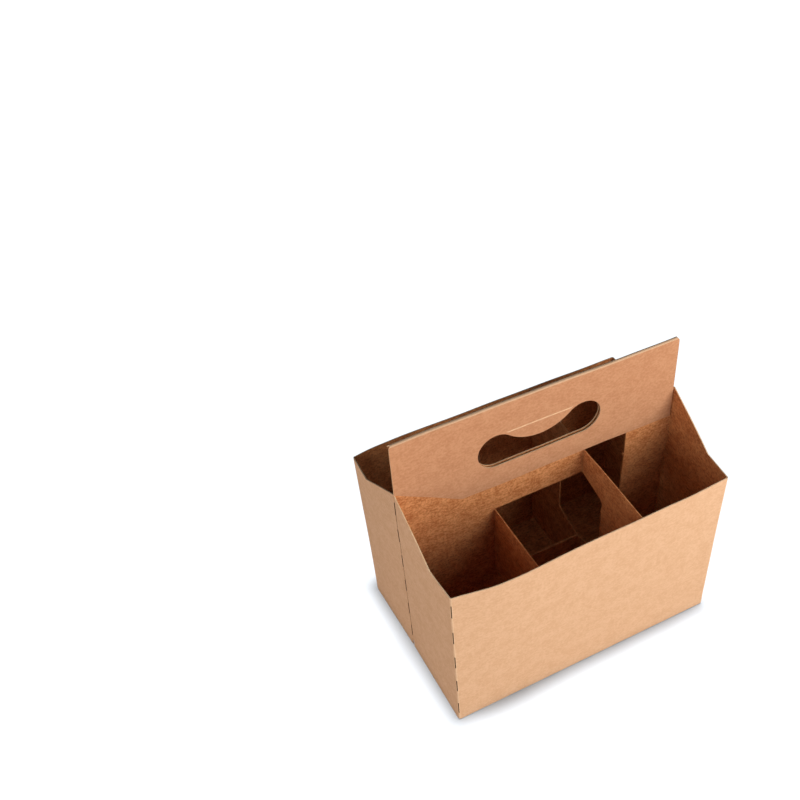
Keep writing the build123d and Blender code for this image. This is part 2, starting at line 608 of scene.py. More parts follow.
@dataclass
class Sheet:
    """Patches of board welded into one mesh with the board's thickness."""

    name: str
    thickness: float
    patches: list[Patch]
    slit_depth: float = 0.9
    slit_face: Face = Face.PAINTED_SHADE

    def gather(self) -> tuple[Array, Array, NDArray[np.int_], Array, Mask, NDArray[np.int_]]:
        """Lays all patches end to end.

        Returns:
            Points, fold marks, the corner numbers of the kept cells, their flat places, slits and rims.
        """
        points, folds, cells, flats, slits, rims, first = [], [], [], [], [], [], 0
        for patch in self.patches:
            index = np.arange(first, first + patch.fold.size).reshape(patch.fold.shape)
            cells.append(np.stack(cell_corners(index), axis=2)[patch.keep])
            flats.append(np.stack(cell_corners(patch.flat), axis=2)[patch.keep])
            slits.append(patch.slit[patch.keep])
            rims.append(np.full(patch.keep.sum(), patch.rim))
            points.append(patch.points.reshape(-1, 3))
            folds.append(patch.fold.ravel())
            first += patch.fold.size
        return tuple(np.concatenate(rows) for rows in (points, folds, cells, flats, slits, rims))

    @staticmethod
    def weld(points: Array, cells: NDArray[np.int_]) -> tuple[NDArray[np.int_], NDArray[np.int_]]:
        """Makes one point of all points that share a place.

        Args:
            points: Rows of X, Y and Z.
            cells: Corner numbers of each cell.

        Returns:
            The numbers of the points that stay, and the cells renumbered to them.
        """
        key = np.round(points / WELD + WELD_OFFSET).astype(np.int64)
        _, first, group = np.unique(key, axis=0, return_index=True, return_inverse=True)
        used, renumbered = np.unique(group.ravel()[cells], return_inverse=True)
        return first[used], renumbered.reshape(cells.shape)

    @staticmethod
    def rounds(loops: Sequence[NDArray]) -> NDArray:
        """The edges of all cells in turn: each corner's value beside the next corner's."""
        pairs = [np.stack([loop, np.roll(loop, -1, axis=1)], axis=2) for loop in loops]
        return np.concatenate([pair.reshape(-1, *pair.shape[2:]) for pair in pairs])

    def half_board(self, points: Array, quads: NDArray[np.int_], trios: NDArray[np.int_]) -> Array:
        """Half the board's thickness, at a right angle to the sheet.

        The direction at a point is the sum of the cross products of the cells round it.

        Args:
            points: Points on the middle of the board.
            quads: Corner numbers of the cells with four corners.
            trios: Corner numbers of the cells with three.

        Returns:
            The step from each point to the outer face.
        """
        step = np.zeros_like(points)
        a, b, c, d = (points[corner] for corner in quads.T)
        np.add.at(step, quads, np.cross(c - a, d - b)[:, None])
        a, b, c = (points[corner] for corner in trios.T)
        np.add.at(step, trios, np.cross(b - a, c - a)[:, None])
        return step * (self.thickness / 2 / np.linalg.norm(step, axis=1, keepdims=True))

    def build(self, settle: Settle) -> bpy.types.Object:
        """Makes the mesh: both faces half a board off the middle, closed by a rim round every edge.

        A slit cell's outer face lies at the bottom of its groove instead, inside walls that join it
        to the faces round it.

        Args:
            settle: Moves the welded points before they get their thickness.

        Returns:
            The object, with the finish of each face as its material number.
        """
        points, folds, cells, flats, slits, rims = self.gather()
        stay, cells = self.weld(points, cells)
        points, folds, count = settle(points[stay]), folds[stay], len(stay)
        flaws = cells == np.roll(cells, -1, axis=1)
        sound, three = ~flaws.any(axis=1), flaws.sum(axis=1) == 1
        quads, quad_flat, slit = cells[sound], flats[sound], slits[sound]
        trios = cells[three][~flaws[three]].reshape(-1, 3)
        trio_flat = flats[three][~flaws[three]].reshape(-1, 3, 2)

        edges = self.rounds((quads, trios))
        along = self.rounds((quad_flat, trio_flat)).sum(axis=-1)
        sunk = np.append(np.repeat(slit, 4), np.zeros(trios.size, dtype=bool))
        edge_face = np.append(np.repeat(rims[sound], 4), np.repeat(rims[three], 3))
        key = edges.min(axis=1) * count + edges.max(axis=1)
        _, place, times = np.unique(key, return_inverse=True, return_counts=True)
        shared, grooved = times[place], np.bincount(place, weights=sunk)[place]
        outer, inner, floor = 0, count, 2 * count

        def upright(chosen: Mask, foot: int) -> tuple[NDArray[np.int_], Array]:
            """Faces at a right angle to the board, down from the outer face along some edges.

            Args:
                chosen: The edges.
                foot: First number of the layer of points that they reach down to.

            Returns:
                Corner numbers of the faces, and the places of the corners on the flat sheet.
            """
            start, stop = edges[chosen].T
            begin, end = along[chosen].T
            top, deep = np.zeros_like(begin), np.full_like(begin, self.thickness)
            corners = ((end, top), (begin, top), (begin, deep), (end, deep))
            flat = np.stack([np.column_stack(pair) for pair in corners], axis=1)
            return np.column_stack([stop + outer, start + outer, start + foot, stop + foot]), flat

        rim, rim_flat = upright(shared == 1, inner)
        wall, wall_flat = upright((shared == 2) & (grooved == 1) & ~sunk, floor)
        # The body's slit grooves take painted shade on their floors and walls, the dark of the cells behind
        # the slits; the handle's take the cut edge's finish.
        runs = (
            (quads[~slit] + outer, quad_flat[~slit], Face.OUTER),
            (quads[slit] + floor, quad_flat[slit], self.slit_face),
            (quads[:, ::-1] + inner, quad_flat[:, ::-1], Face.INNER),
            (rim, rim_flat, edge_face[shared == 1]),
            (wall, wall_flat, self.slit_face),
            (trios + outer, trio_flat, Face.OUTER),
            (trios[:, ::-1] + inner, trio_flat[:, ::-1], Face.INNER),
        )
        used, corners = np.unique(np.concatenate([run.ravel() for run, _, _ in runs]), return_inverse=True)
        ends = np.cumsum([run.size for run, _, _ in runs])[:-1]
        faces = [part.reshape(run.shape) for part, (run, _, _) in zip(np.split(corners, ends), runs)]
        half = self.half_board(points, quads, trios)
        layers = np.concatenate([points + half, points - half, points + (1 - 2 * self.slit_depth) * half])
        places = np.concatenate([flat.reshape(-1, 2) for _, flat, _ in runs])
        finish = np.concatenate([np.broadcast_to(face, len(run)) for run, _, face in runs]).astype(np.int32)

        mesh = bpy.data.meshes.new(self.name)
        mesh.from_pydata(layers[used].tolist(), [], [face for part in faces for face in part.tolist()])
        mesh.polygons.foreach_set("material_index", finish)
        mesh.uv_layers.new(name=FLAT_MAP).uv.foreach_set("vector", places.ravel().astype(np.float32))
        mark = mesh.attributes.new(FOLD_MARK, "FLOAT", "POINT")
        mark.data.foreach_set("value", np.tile(folds, 3)[used].astype(np.float32))
        mesh.shade_smooth()
        mesh.set_sharp_from_angle(angle=SHARP_ANGLE)
        mesh.validate()
        piece = bpy.data.objects.new(self.name, mesh)
        bpy.context.scene.collection.objects.link(piece)
        return piece


@dataclass
class Graph:
    """Adds nodes to a material or a node group and links them."""

    tree: bpy.types.NodeTree

    def add(self, kind: str, **settings: object) -> bpy.types.Node:
        """A new node.

        Args:
            kind: Blender's name of the node.
            settings: Values of some of its properties.

        Returns:
            The node.
        """
        node = self.tree.nodes.new(kind)
        for name, value in settings.items():
            setattr(node, name, value)
        return node

    def link(self, source: Socket, target: Socket) -> None:
        """Joins an output to an input."""
        self.tree.links.new(source, target)

    def feed(self, target: Socket, source: object) -> None:
        """Joins an output to an input, or sets the input to a plain value.

        Args:
            target: The input.
            source: Output or plain value.
        """
        if isinstance(source, Socket):
            self.link(source, target)
        else:
            target.default_value = source

    def math(self, operation: str, first: object, second: object) -> Socket:
        """A sum of two values, each a socket or a number.

        Args:
            operation: Blender's name of the operation.
            first: Socket or number.
            second: Socket or number.

        Returns:
            The result's socket.
        """
        node = self.add("ShaderNodeMath", operation=operation)
        for socket, value in zip(node.inputs, (first, second)):
            self.feed(socket, value)
        return node.outputs["Value"]

    def remap(self, source: Socket, old: tuple[float, float], new: tuple[float, float]) -> Socket:
        """Stretches a value from one range to another, and holds it at the ends.

        Args:
            source: The value.
            old: Its range.
            new: The range it is put into.

        Returns:
            The result's socket.
        """
        node = self.add("ShaderNodeMapRange", interpolation_type="SMOOTHSTEP")
        for name, value in zip(("From Min", "From Max", "To Min", "To Max"), (*old, *new)):
            node.inputs[name].default_value = value
        self.link(source, node.inputs["Value"])
        return node.outputs["Result"]

    def blend(self, share: Socket, first: object, second: object) -> Socket:
        """Mixes two colours, each a socket or a colour.

        Args:
            share: How much of the second colour there is.
            first: Colour where the share is nought.
            second: Colour where the share is one.

        Returns:
            The result's socket.
        """
        node = self.add("ShaderNodeMix", data_type="RGBA")
        self.link(share, node.inputs[MIX_SHARE])
        for socket, value in zip(node.inputs[MIX_COLOURS], (first, second)):
            self.feed(socket, value if isinstance(value, Socket) else (*value, 1))
        return node.outputs[MIX_RESULT]


@dataclass(frozen=True)
class Fibre:
    """The look of pressed wood fibre, shared by all kraft finishes.

    Clouds are soft noise at the size of the clumps that fibre forms, over streaks and broad blotches.
    Grain is noise at the size of the surface's tooth, and strands are noise drawn out along and up
    the sheet and cut off near its peaks. A stretch below one draws the noise out, and a texture is
    the noise's detail and roughness.
    """

    clump_share: float = 0.40
    streak_share: float = 0.32
    blotch_share: float = 0.28
    cloud_range: tuple[float, float] = (0.36, 0.64)
    strand_range: tuple[float, float] = (0.60, 0.74)
    grain_relief: float = 0.6
    strand_relief: float = 0.4
    even: Stretch = (1.0, 1.0, 1.0)
    streak: Stretch = (0.50, 1.0, 1.0)
    blotch: Stretch = (0.16, 0.20, 1.0)
    level: Stretch = (0.22, 1.0, 1.0)
    upright: Stretch = (1.0, 0.25, 1.0)
    crisp: tuple[float, float] = (3.0, 0.6)
    soft: tuple[float, float] = (2.0, 0.5)

    def group(self) -> bpy.types.NodeTree:
        """Builds the node group.

        Returns:
            A group with the outputs Cloud, Strand and Relief.
        """
        group = bpy.data.node_groups.new("kraft_fibre", "ShaderNodeTree")
        face = group.interface
        face.new_socket("Vector", in_out="INPUT", socket_type="NodeSocketVector")
        for name in SCALE_INPUTS:
            face.new_socket(name, in_out="INPUT", socket_type="NodeSocketFloat")
        for name in ("Cloud", "Strand", "Relief"):
            face.new_socket(name, in_out="OUTPUT", socket_type="NodeSocketFloat")
        graph = Graph(group)
        source = graph.add("NodeGroupInput").outputs
        sink = graph.add("NodeGroupOutput").inputs
        cloud_scale, grain_scale, strand_scale = (source[name] for name in SCALE_INPUTS)

        def noise(scale: Socket, stretch: Stretch, texture: tuple[float, float]) -> Socket:
            """A noise on the stretched sheet.

            Args:
                scale: Its scale.
                stretch: How far the sheet is stretched along it, up it and across it.
                texture: Its detail and roughness.

            Returns:
                The noise's socket.
            """
            drawn = graph.add("ShaderNodeVectorMath", operation="MULTIPLY")
            node = graph.add("ShaderNodeTexNoise", noise_dimensions="2D")
            values = (source["Vector"], stretch, drawn.outputs["Vector"], scale, *texture)
            targets = (*drawn.inputs[:2], *(node.inputs[name] for name in NOISE_INPUTS))
            for target, value in zip(targets, values):
                graph.feed(target, value)
            return node.outputs["Fac"]

        def total(*terms: tuple[Socket, float]) -> Socket:
            """Sum of values, each times its share."""
            products = [graph.math("MULTIPLY", value, share) for value, share in terms]
            return reduce(lambda first, second: graph.math("ADD", first, second), products)

        cloud = total(
            (noise(cloud_scale, self.even, self.crisp), self.clump_share),
            (noise(cloud_scale, self.streak, self.soft), self.streak_share),
            (noise(cloud_scale, self.blotch, self.soft), self.blotch_share),
        )
        level, upright = (noise(strand_scale, way, self.soft) for way in (self.level, self.upright))
        strand = graph.math("MAXIMUM", level, upright)
        grain = noise(grain_scale, self.even, self.crisp)
        graph.link(graph.remap(cloud, self.cloud_range, (0.0, 1.0)), sink["Cloud"])
        graph.link(graph.remap(strand, self.strand_range, (0.0, 1.0)), sink["Strand"])
        graph.link(total((grain, self.grain_relief), (strand, self.strand_relief)), sink["Relief"])
        return group


@dataclass(frozen=True)
class Kraft:
    """A finish of kraft board, with the noise scales of its clouds, grain and strands."""

    name: str
    pale: Colour
    deep: Colour
    strand: Colour
    strand_share: float
    # Colour of the fold mark: the pale rub of a fold, and painted highlight where the mark lies on top
    # edges and creases.
    fold: Colour
    fold_share: float
    scales: tuple[float, float, float] = (620.0, 2200.0, 1900.0)
    roughness: tuple[float, float] = (0.86, 0.78)
    relief: float = 0.10
    tooth: float = 0.0001
    specular: float = 0.20

    def material(self, group: bpy.types.NodeTree) -> bpy.types.Material:
        """Builds the material: clouds mix two tones, strands tint them, the fold mark paints a pale rub and
        highlight on them, relief bumps them.

        Args:
            group: The shared fibre group.

        Returns:
            The material.
        """
        made = bpy.data.materials.new(self.name)
        made.use_nodes = True
        graph = Graph(made.node_tree)
        shader = made.node_tree.nodes["Principled BSDF"]
        shader.inputs["Specular IOR Level"].default_value = self.specular
        place = graph.add("ShaderNodeUVMap", uv_map=FLAT_MAP)
        fibre = graph.add("ShaderNodeGroup", node_tree=group)
        for name, value in zip(SCALE_INPUTS, self.scales):
            fibre.inputs[name].default_value = value
        graph.link(place.outputs["UV"], fibre.inputs["Vector"])
        cloud, strand = fibre.outputs["Cloud"], fibre.outputs["Strand"]
        mark = graph.add("ShaderNodeAttribute", attribute_name=FOLD_MARK).outputs["Fac"]
        tone = graph.blend(cloud, self.deep, self.pale)
        tinted = graph.blend(graph.math("MULTIPLY", strand, self.strand_share), tone, self.strand)
        rub_and_highlight = graph.blend(graph.math("MULTIPLY", mark, self.fold_share), tinted, self.fold)
        graph.link(rub_and_highlight, shader.inputs["Base Color"])
        graph.link(graph.remap(cloud, (0.0, 1.0), self.roughness), shader.inputs["Roughness"])
        bump = graph.add("ShaderNodeBump")
        bump.inputs["Strength"].default_value = self.relief
        bump.inputs["Distance"].default_value = self.tooth
        graph.link(fibre.outputs["Relief"], bump.inputs["Height"])
        graph.link(bump.outputs["Normal"], shader.inputs["Normal"])
        return made


SMOOTH_KRAFT = Kraft(
    name="kraft_smooth_face", pale=srgb(216, 175, 138), deep=srgb(205, 162, 124),
    strand=srgb(188, 142, 103), strand_share=0.16, fold=srgb(246, 212, 172), fold_share=0.45,
)
# A darker, redder copy of the smooth face: painted shade on the handle, with a stronger fold mark for the
# painted highlight on its top fold and crease.
HANDLE_KRAFT = Kraft(
    name="kraft_handle_face", pale=srgb(199, 144, 105), deep=srgb(185, 129, 91),
    strand=srgb(164, 109, 73), strand_share=0.18, fold=srgb(238, 200, 160), fold_share=0.60,
)
MOTTLED_KRAFT = Kraft(
    name="kraft_mottled_face", pale=srgb(219, 150, 94), deep=srgb(178, 106, 58),
    strand=srgb(150, 86, 43), strand_share=0.45, fold=srgb(200, 140, 92), fold_share=0.30,
    scales=(640.0, 1500.0, 1300.0), roughness=(0.94, 0.86), relief=0.22, specular=0.26,
)
CUT_EDGE = Kraft(
    name="kraft_cut_edge", pale=srgb(238, 203, 160), deep=srgb(226, 182, 136),
    strand=srgb(200, 150, 106), strand_share=0.30, fold=srgb(248, 220, 184), fold_share=0.30,
    scales=(900.0, 3000.0, 2600.0), roughness=(0.96, 0.90), relief=0.3, specular=0.1,
)
# Painted shade: the near-black of the dark cells behind the slits, on the floors and walls of the body's
# slit grooves and of the groove between the halves of each end.
SLIT_SHADE = replace(
    CUT_EDGE, name="kraft_slit_shade", pale=srgb(74, 42, 24), deep=srgb(58, 32, 18),
    strand=srgb(48, 26, 14), fold=srgb(58, 32, 18), specular=0.0,
)


@dataclass
class Dressing:
    """The carrier's finishes, built once."""

    group: bpy.types.NodeTree = field(default_factory=lambda: Fibre().group())
    made: dict[str, bpy.types.Material] = field(default_factory=dict)

    def of(self, finish: Kraft) -> bpy.types.Material:
        """The material of a finish, made the first time it is asked for."""
        if finish.name not in self.made:
            self.made[finish.name] = finish.material(self.group)
        return self.made[finish.name]

    def put_on(self, piece: bpy.types.Object, *finishes: Kraft) -> None:
        """Gives a piece its finishes in the order of its material numbers."""
        for finish in finishes:
            piece.data.materials.append(self.of(finish))


@dataclass
class Body:
    """Walls, webs, dividers and bottom: everything but the handle."""

    blank: Blank
    notch_depth: float = 0.0035
    notch_half: float = 0.007
    notch_blend: float = 0.010
    crease_bead: float = 0.00015
    crease_half: float = 0.0006
    name: str = "carrier_body"

    def columns(self, path: Path, heights: Array) -> tuple[Array, Array]:
        """Stands an upright run on its path.

        Args:
            path: The run seen from above.
            heights: Height of every grid point, a row for each station.

        Returns:
            The points, and their places on the flat sheet: travel along the path, and height.
        """
        plan = np.repeat(path.points[:, None], heights.shape[1], axis=1)
        travel = np.repeat(path.travel[:, None], heights.shape[1], axis=1)
        return np.dstack([plan, heights]), np.dstack([travel, heights])

    def climb(self, top: Array) -> Array:
        """Heights of a run's grid points: the shared levels, then shares of the rise above them.

        Args:
            top: Each station's own top.

        Returns:
            A row of heights for each station.
        """
        blank = self.blank
        levels = np.broadcast_to(blank.levels(), (len(top), len(blank.levels())))
        rise = (top - blank.wall_height)[:, None] * blank.peak_shares()
        return np.column_stack([levels, blank.wall_height + rise])

    def walls(self) -> Patch:
        """The front panel and both front end halves, with their corner and centre folds.

        One profile is carried along the path from the left centre fold round the front to the right
        one. Its foot follows the floor gap and its top rises in a straight line from the shoulder
        to the centre.

        Returns:
            The front half of the outer walls.
        """
        b = self.blank
        side = b.fold_x + b.fold_mid
        lines = rule(
            b.corner_y, b.centre_y, b.pitch,
            (b.corner_y + b.guard, b.corner_y + b.fold_outer, b.shoulder_y, b.centre_y - b.guard),
        )
        front = b.front_lines()
        left = np.column_stack([np.full_like(lines, -side), lines])[::-1]
        right = np.column_stack([np.full_like(lines, side), lines])
        panel = np.column_stack([front, np.full_like(front, b.corner_y - b.fold_mid)])
        path = Path.through(
            quarter((-b.fold_x, b.centre_y), 1, 2, b.fold_mid), left,
            quarter((-b.fold_x, b.corner_y), 2, 3, b.fold_mid), panel,
            quarter((b.fold_x, b.corner_y), 3, 4, b.fold_mid), right,
            quarter((b.fold_x, b.centre_y), 0, 1, b.fold_mid),
        )
        left_centre, _, left_corner, _, right_corner, _, right_centre = range(7)
        y = path.points[:, 1]
        foot = np.interp(y, (b.corner_y, b.corner_y + b.fold_outer), (b.fold_outer, b.end_gap))
        top = np.interp(y, (b.shoulder_y, b.centre_y), (b.wall_height, b.end_peak))
        heights = np.column_stack([foot, self.climb(top)])
        middle = middles(heights)
        keep = np.ones_like(middle, dtype=bool)
        rising = np.maximum(top[:-1], top[1:]) > b.wall_height + WELD
        keep[:, len(b.levels()):] &= rising[:, None]
        keep[np.isin(path.run, (left_centre, right_centre)), 0] = False
        cells = path.slit_cells(CORNER_STEPS, left_corner, right_corner)
        slit = cells[:, None] & within(middle, b.corner_spans)
        for steps, spans in ((CENTRE_STEPS, b.centre_spans), (GROOVE_STEPS, b.groove_span)):
            mirror = [FOLD_STEPS - 1 - step for step in steps]
            cells = path.slit_cells(steps, left_centre) | path.slit_cells(mirror, right_centre)
            slit |= cells[:, None] & within(middle, spans)
        points, flat = self.columns(path, heights)
        fold = np.repeat(path.fold_mark(left_corner, right_corner)[:, None], heights.shape[1], axis=1)
        # Painted highlight: the fold mark along the top edge of the front panel and the ends' shoulders,
        # where light catches the cut edge.
        fold[top < b.wall_height + WELD, len(b.levels())] = 1
        return Patch.make(points, flat, keep, fold, slit)

    def web(self) -> Patch:
        """The front web between the two rows of cells, open at the windows.

        A flat grid in length and height. Its top falls from the ends to the lap under the handle.

        Returns:
            The web in front of the middle plane.
        """
        b = self.blank
        low_hinge, high_hinge = b.hinge_x(Divider.LOW), b.hinge_x(Divider.HIGH)
        slope_end = -b.handle_side + b.slope_run
        stops = (
            -b.fold_x + b.guard, slope_end, low_hinge - b.guard, low_hinge, high_hinge - b.guard,
            high_hinge, b.right_edge - b.nick, b.right_edge, b.fold_x - b.guard,
        )
        x = rule(-b.fold_x, b.fold_x, b.pitch, stops)[::-1]
        lap = b.handle_floor + b.web_lap
        knots = (-b.fold_x, slope_end, b.right_edge, b.fold_x)
        top = np.interp(x, knots, (b.end_peak, lap, lap, b.end_peak))
        path = Path.through(np.column_stack([x, np.full_like(x, b.centre_y + b.fold_mid)]))
        heights = self.climb(top)
        z = middles(heights)
        across = np.broadcast_to(between(x)[:, None], z.shape)
        left = (across < high_hinge) & ~((across > low_hinge) & (z > b.divider_floor) & (z < b.low_top))
        nick = (z > b.web_nick_low) & (z < b.web_nick_low + b.nick_height)
        keep = left | (nick & (across > b.right_edge - b.nick)) | (across > b.right_edge)
        points, flat = self.columns(path, heights)
        return Patch.make(points, flat + (WEB_PLACE, 0.0), keep, rim=Face.INNER)

    def divider(self, which: Divider) -> Patch:
        """A divider of the front row with its glue tab and its hinge.

        One profile is carried along the path from the tab's free edge, round the tab's fold, along
        the divider and round the hinge into the web. The profile's ends come in along the tab to give
        it its taper. The high divider is open where the low one's tab was cut out of it, and there
        the rows above and below the opening come in along the same line.

        Args:
            which: The low or the high divider.

        Returns:
            The divider.
        """
        b = self.blank
        x, (low, top) = b.divider_x(which), b.divider_span(which)
        near, cut = x + b.fold_outer, b.centre_y - b.tab
        tab_lines = near + b.tab_lines()[::-1]
        stops = (b.tab_fold_y + b.guard, cut + b.nick, *(b.centre_y - b.tab_lines()))
        lines = rule(b.tab_fold_y, b.centre_y, b.pitch, stops)
        path = Path.through(
            np.column_stack([tab_lines, np.full_like(tab_lines, b.tab_fold_y - b.fold_mid)]),
            quarter((near, b.tab_fold_y), 3, 2, b.fold_mid),
            np.column_stack([np.full_like(lines, x + b.board / 2), lines]),
            quarter((b.hinge_x(which), b.centre_y), 0, 1, b.fold_mid),
        )
        _, tab_fold, panel, hinge = range(4)
        levels = b.levels()
        levels = levels[(levels > low - WELD) & (levels < top + WELD)]
        rows = between(levels)
        keep = np.ones((len(path.run), len(rows)), dtype=bool)
        trim = b.tab_trim(np.maximum(path.points[:, 0] - near, 0))
        heights = levels + trim[:, None] * np.interp(levels, (low, top), (1, -1))
        if which is Divider.HIGH:
            y = path.points[:, 1]
            away = np.maximum(b.centre_y - y, 0)
            reach = b.tab_trim(np.minimum(away, b.tab)) * np.clip(2 - away / b.tab, 0, 1)
            knots = (low, b.divider_floor, b.low_top, top)
            heights = heights + reach[:, None] * np.interp(levels, knots, (0, 1, -1, 0))
            nick = np.searchsorted(levels, b.nick_rows - WELD)
            heights[np.ix_(y > cut - WELD, nick)] = b.divider_nick
            middle = between(y)
            open_cells = (middle > cut) & (path.run >= panel)
            open_rows = (rows > b.divider_floor) & (rows < b.low_top)
            tag = (middle < cut + b.nick)[:, None] & (rows > b.nick_rows[0]) & (rows < b.nick_rows[1])
            keep = ~(open_cells[:, None] & open_rows) | tag
        points, flat = self.columns(path, heights)
        fold = np.repeat(path.fold_mark(tab_fold, hinge)[:, None], heights.shape[1], axis=1)
        place = LOW_PLACE if which is Divider.LOW else HIGH_PLACE
        return Patch.make(points, flat + (place, 0.0), keep, fold, rim=Face.INNER)

    def bottom(self) -> Patch:
        """The bottom panel with its folds up to the front and back panels.

        A profile across the width, with a fold at each end and a low bead along the middle crease,
        is carried along the length. The ends are drawn in to a notch where they meet the crease.

        Returns:
            The bottom.
        """
        b = self.blank
        stops = [
            side * value
            for side in (-1, 1)
            for value in (b.slit_width / 2, self.crease_half, self.notch_half, -b.corner_y - b.guard)
        ]
        lines = rule(b.corner_y, -b.corner_y, b.pitch, stops)[::-1]
        flat_z = b.fold_outer - b.fold_mid
        bead = self.crease_bead * np.clip(1 - np.abs(lines) / self.crease_half, 0, 1)
        path = Path.through(
            quarter((-b.corner_y, b.fold_outer), 4, 3, b.fold_mid),
            np.column_stack([lines, flat_z + bead]),
            quarter((b.corner_y, b.fold_outer), 3, 2, b.fold_mid),
        )
        back_fold, _, front_fold = range(3)
        x = b.front_lines()
        y, z = path.points.T
        grid_x, grid_y = np.meshgrid(x, y, indexing="ij")
        grid_z = np.broadcast_to(z, grid_x.shape)
        depth = self.notch_depth * np.clip(1 - np.abs(grid_y) / self.notch_half, 0, 1)
        near_end = np.clip((np.abs(grid_x) - b.fold_x) / self.notch_blend + 1, 0, 1)
        points = np.dstack([grid_x - np.sign(grid_x) * depth * near_end, grid_y, grid_z])
        in_slit = within(between(x), b.bottom_spans)[:, None]
        crease = np.abs(between(y)) < b.slit_width / 2
        slit = in_slit & (path.slit_cells(BOTTOM_STEPS, back_fold, front_fold) | crease)
        flat = np.dstack([grid_x, np.broadcast_to(path.travel, grid_x.shape) + BOTTOM_PLACE])
        fold = np.broadcast_to(path.fold_mark(back_fold, front_fold), grid_x.shape)
        return Patch.make(points, flat, np.ones_like(slit), fold, slit)

    def build(self, settle: Settle, dressing: Dressing) -> bpy.types.Object:
        """Builds and dresses the body.

        Args:
            settle: The settled shape.
            dressing: The finishes.

        Returns:
            The piece.
        """
        front = [self.walls(), self.web(), self.divider(Divider.LOW), self.divider(Divider.HIGH)]
        back = [patch.mirrored(1, BACK_PLACE) for patch in front]
        piece = Sheet(self.name, self.blank.thickness, [*front, *back, self.bottom()]).build(settle)
        dressing.put_on(piece, SMOOTH_KRAFT, MOTTLED_KRAFT, CUT_EDGE, SLIT_SHADE)
        return piece


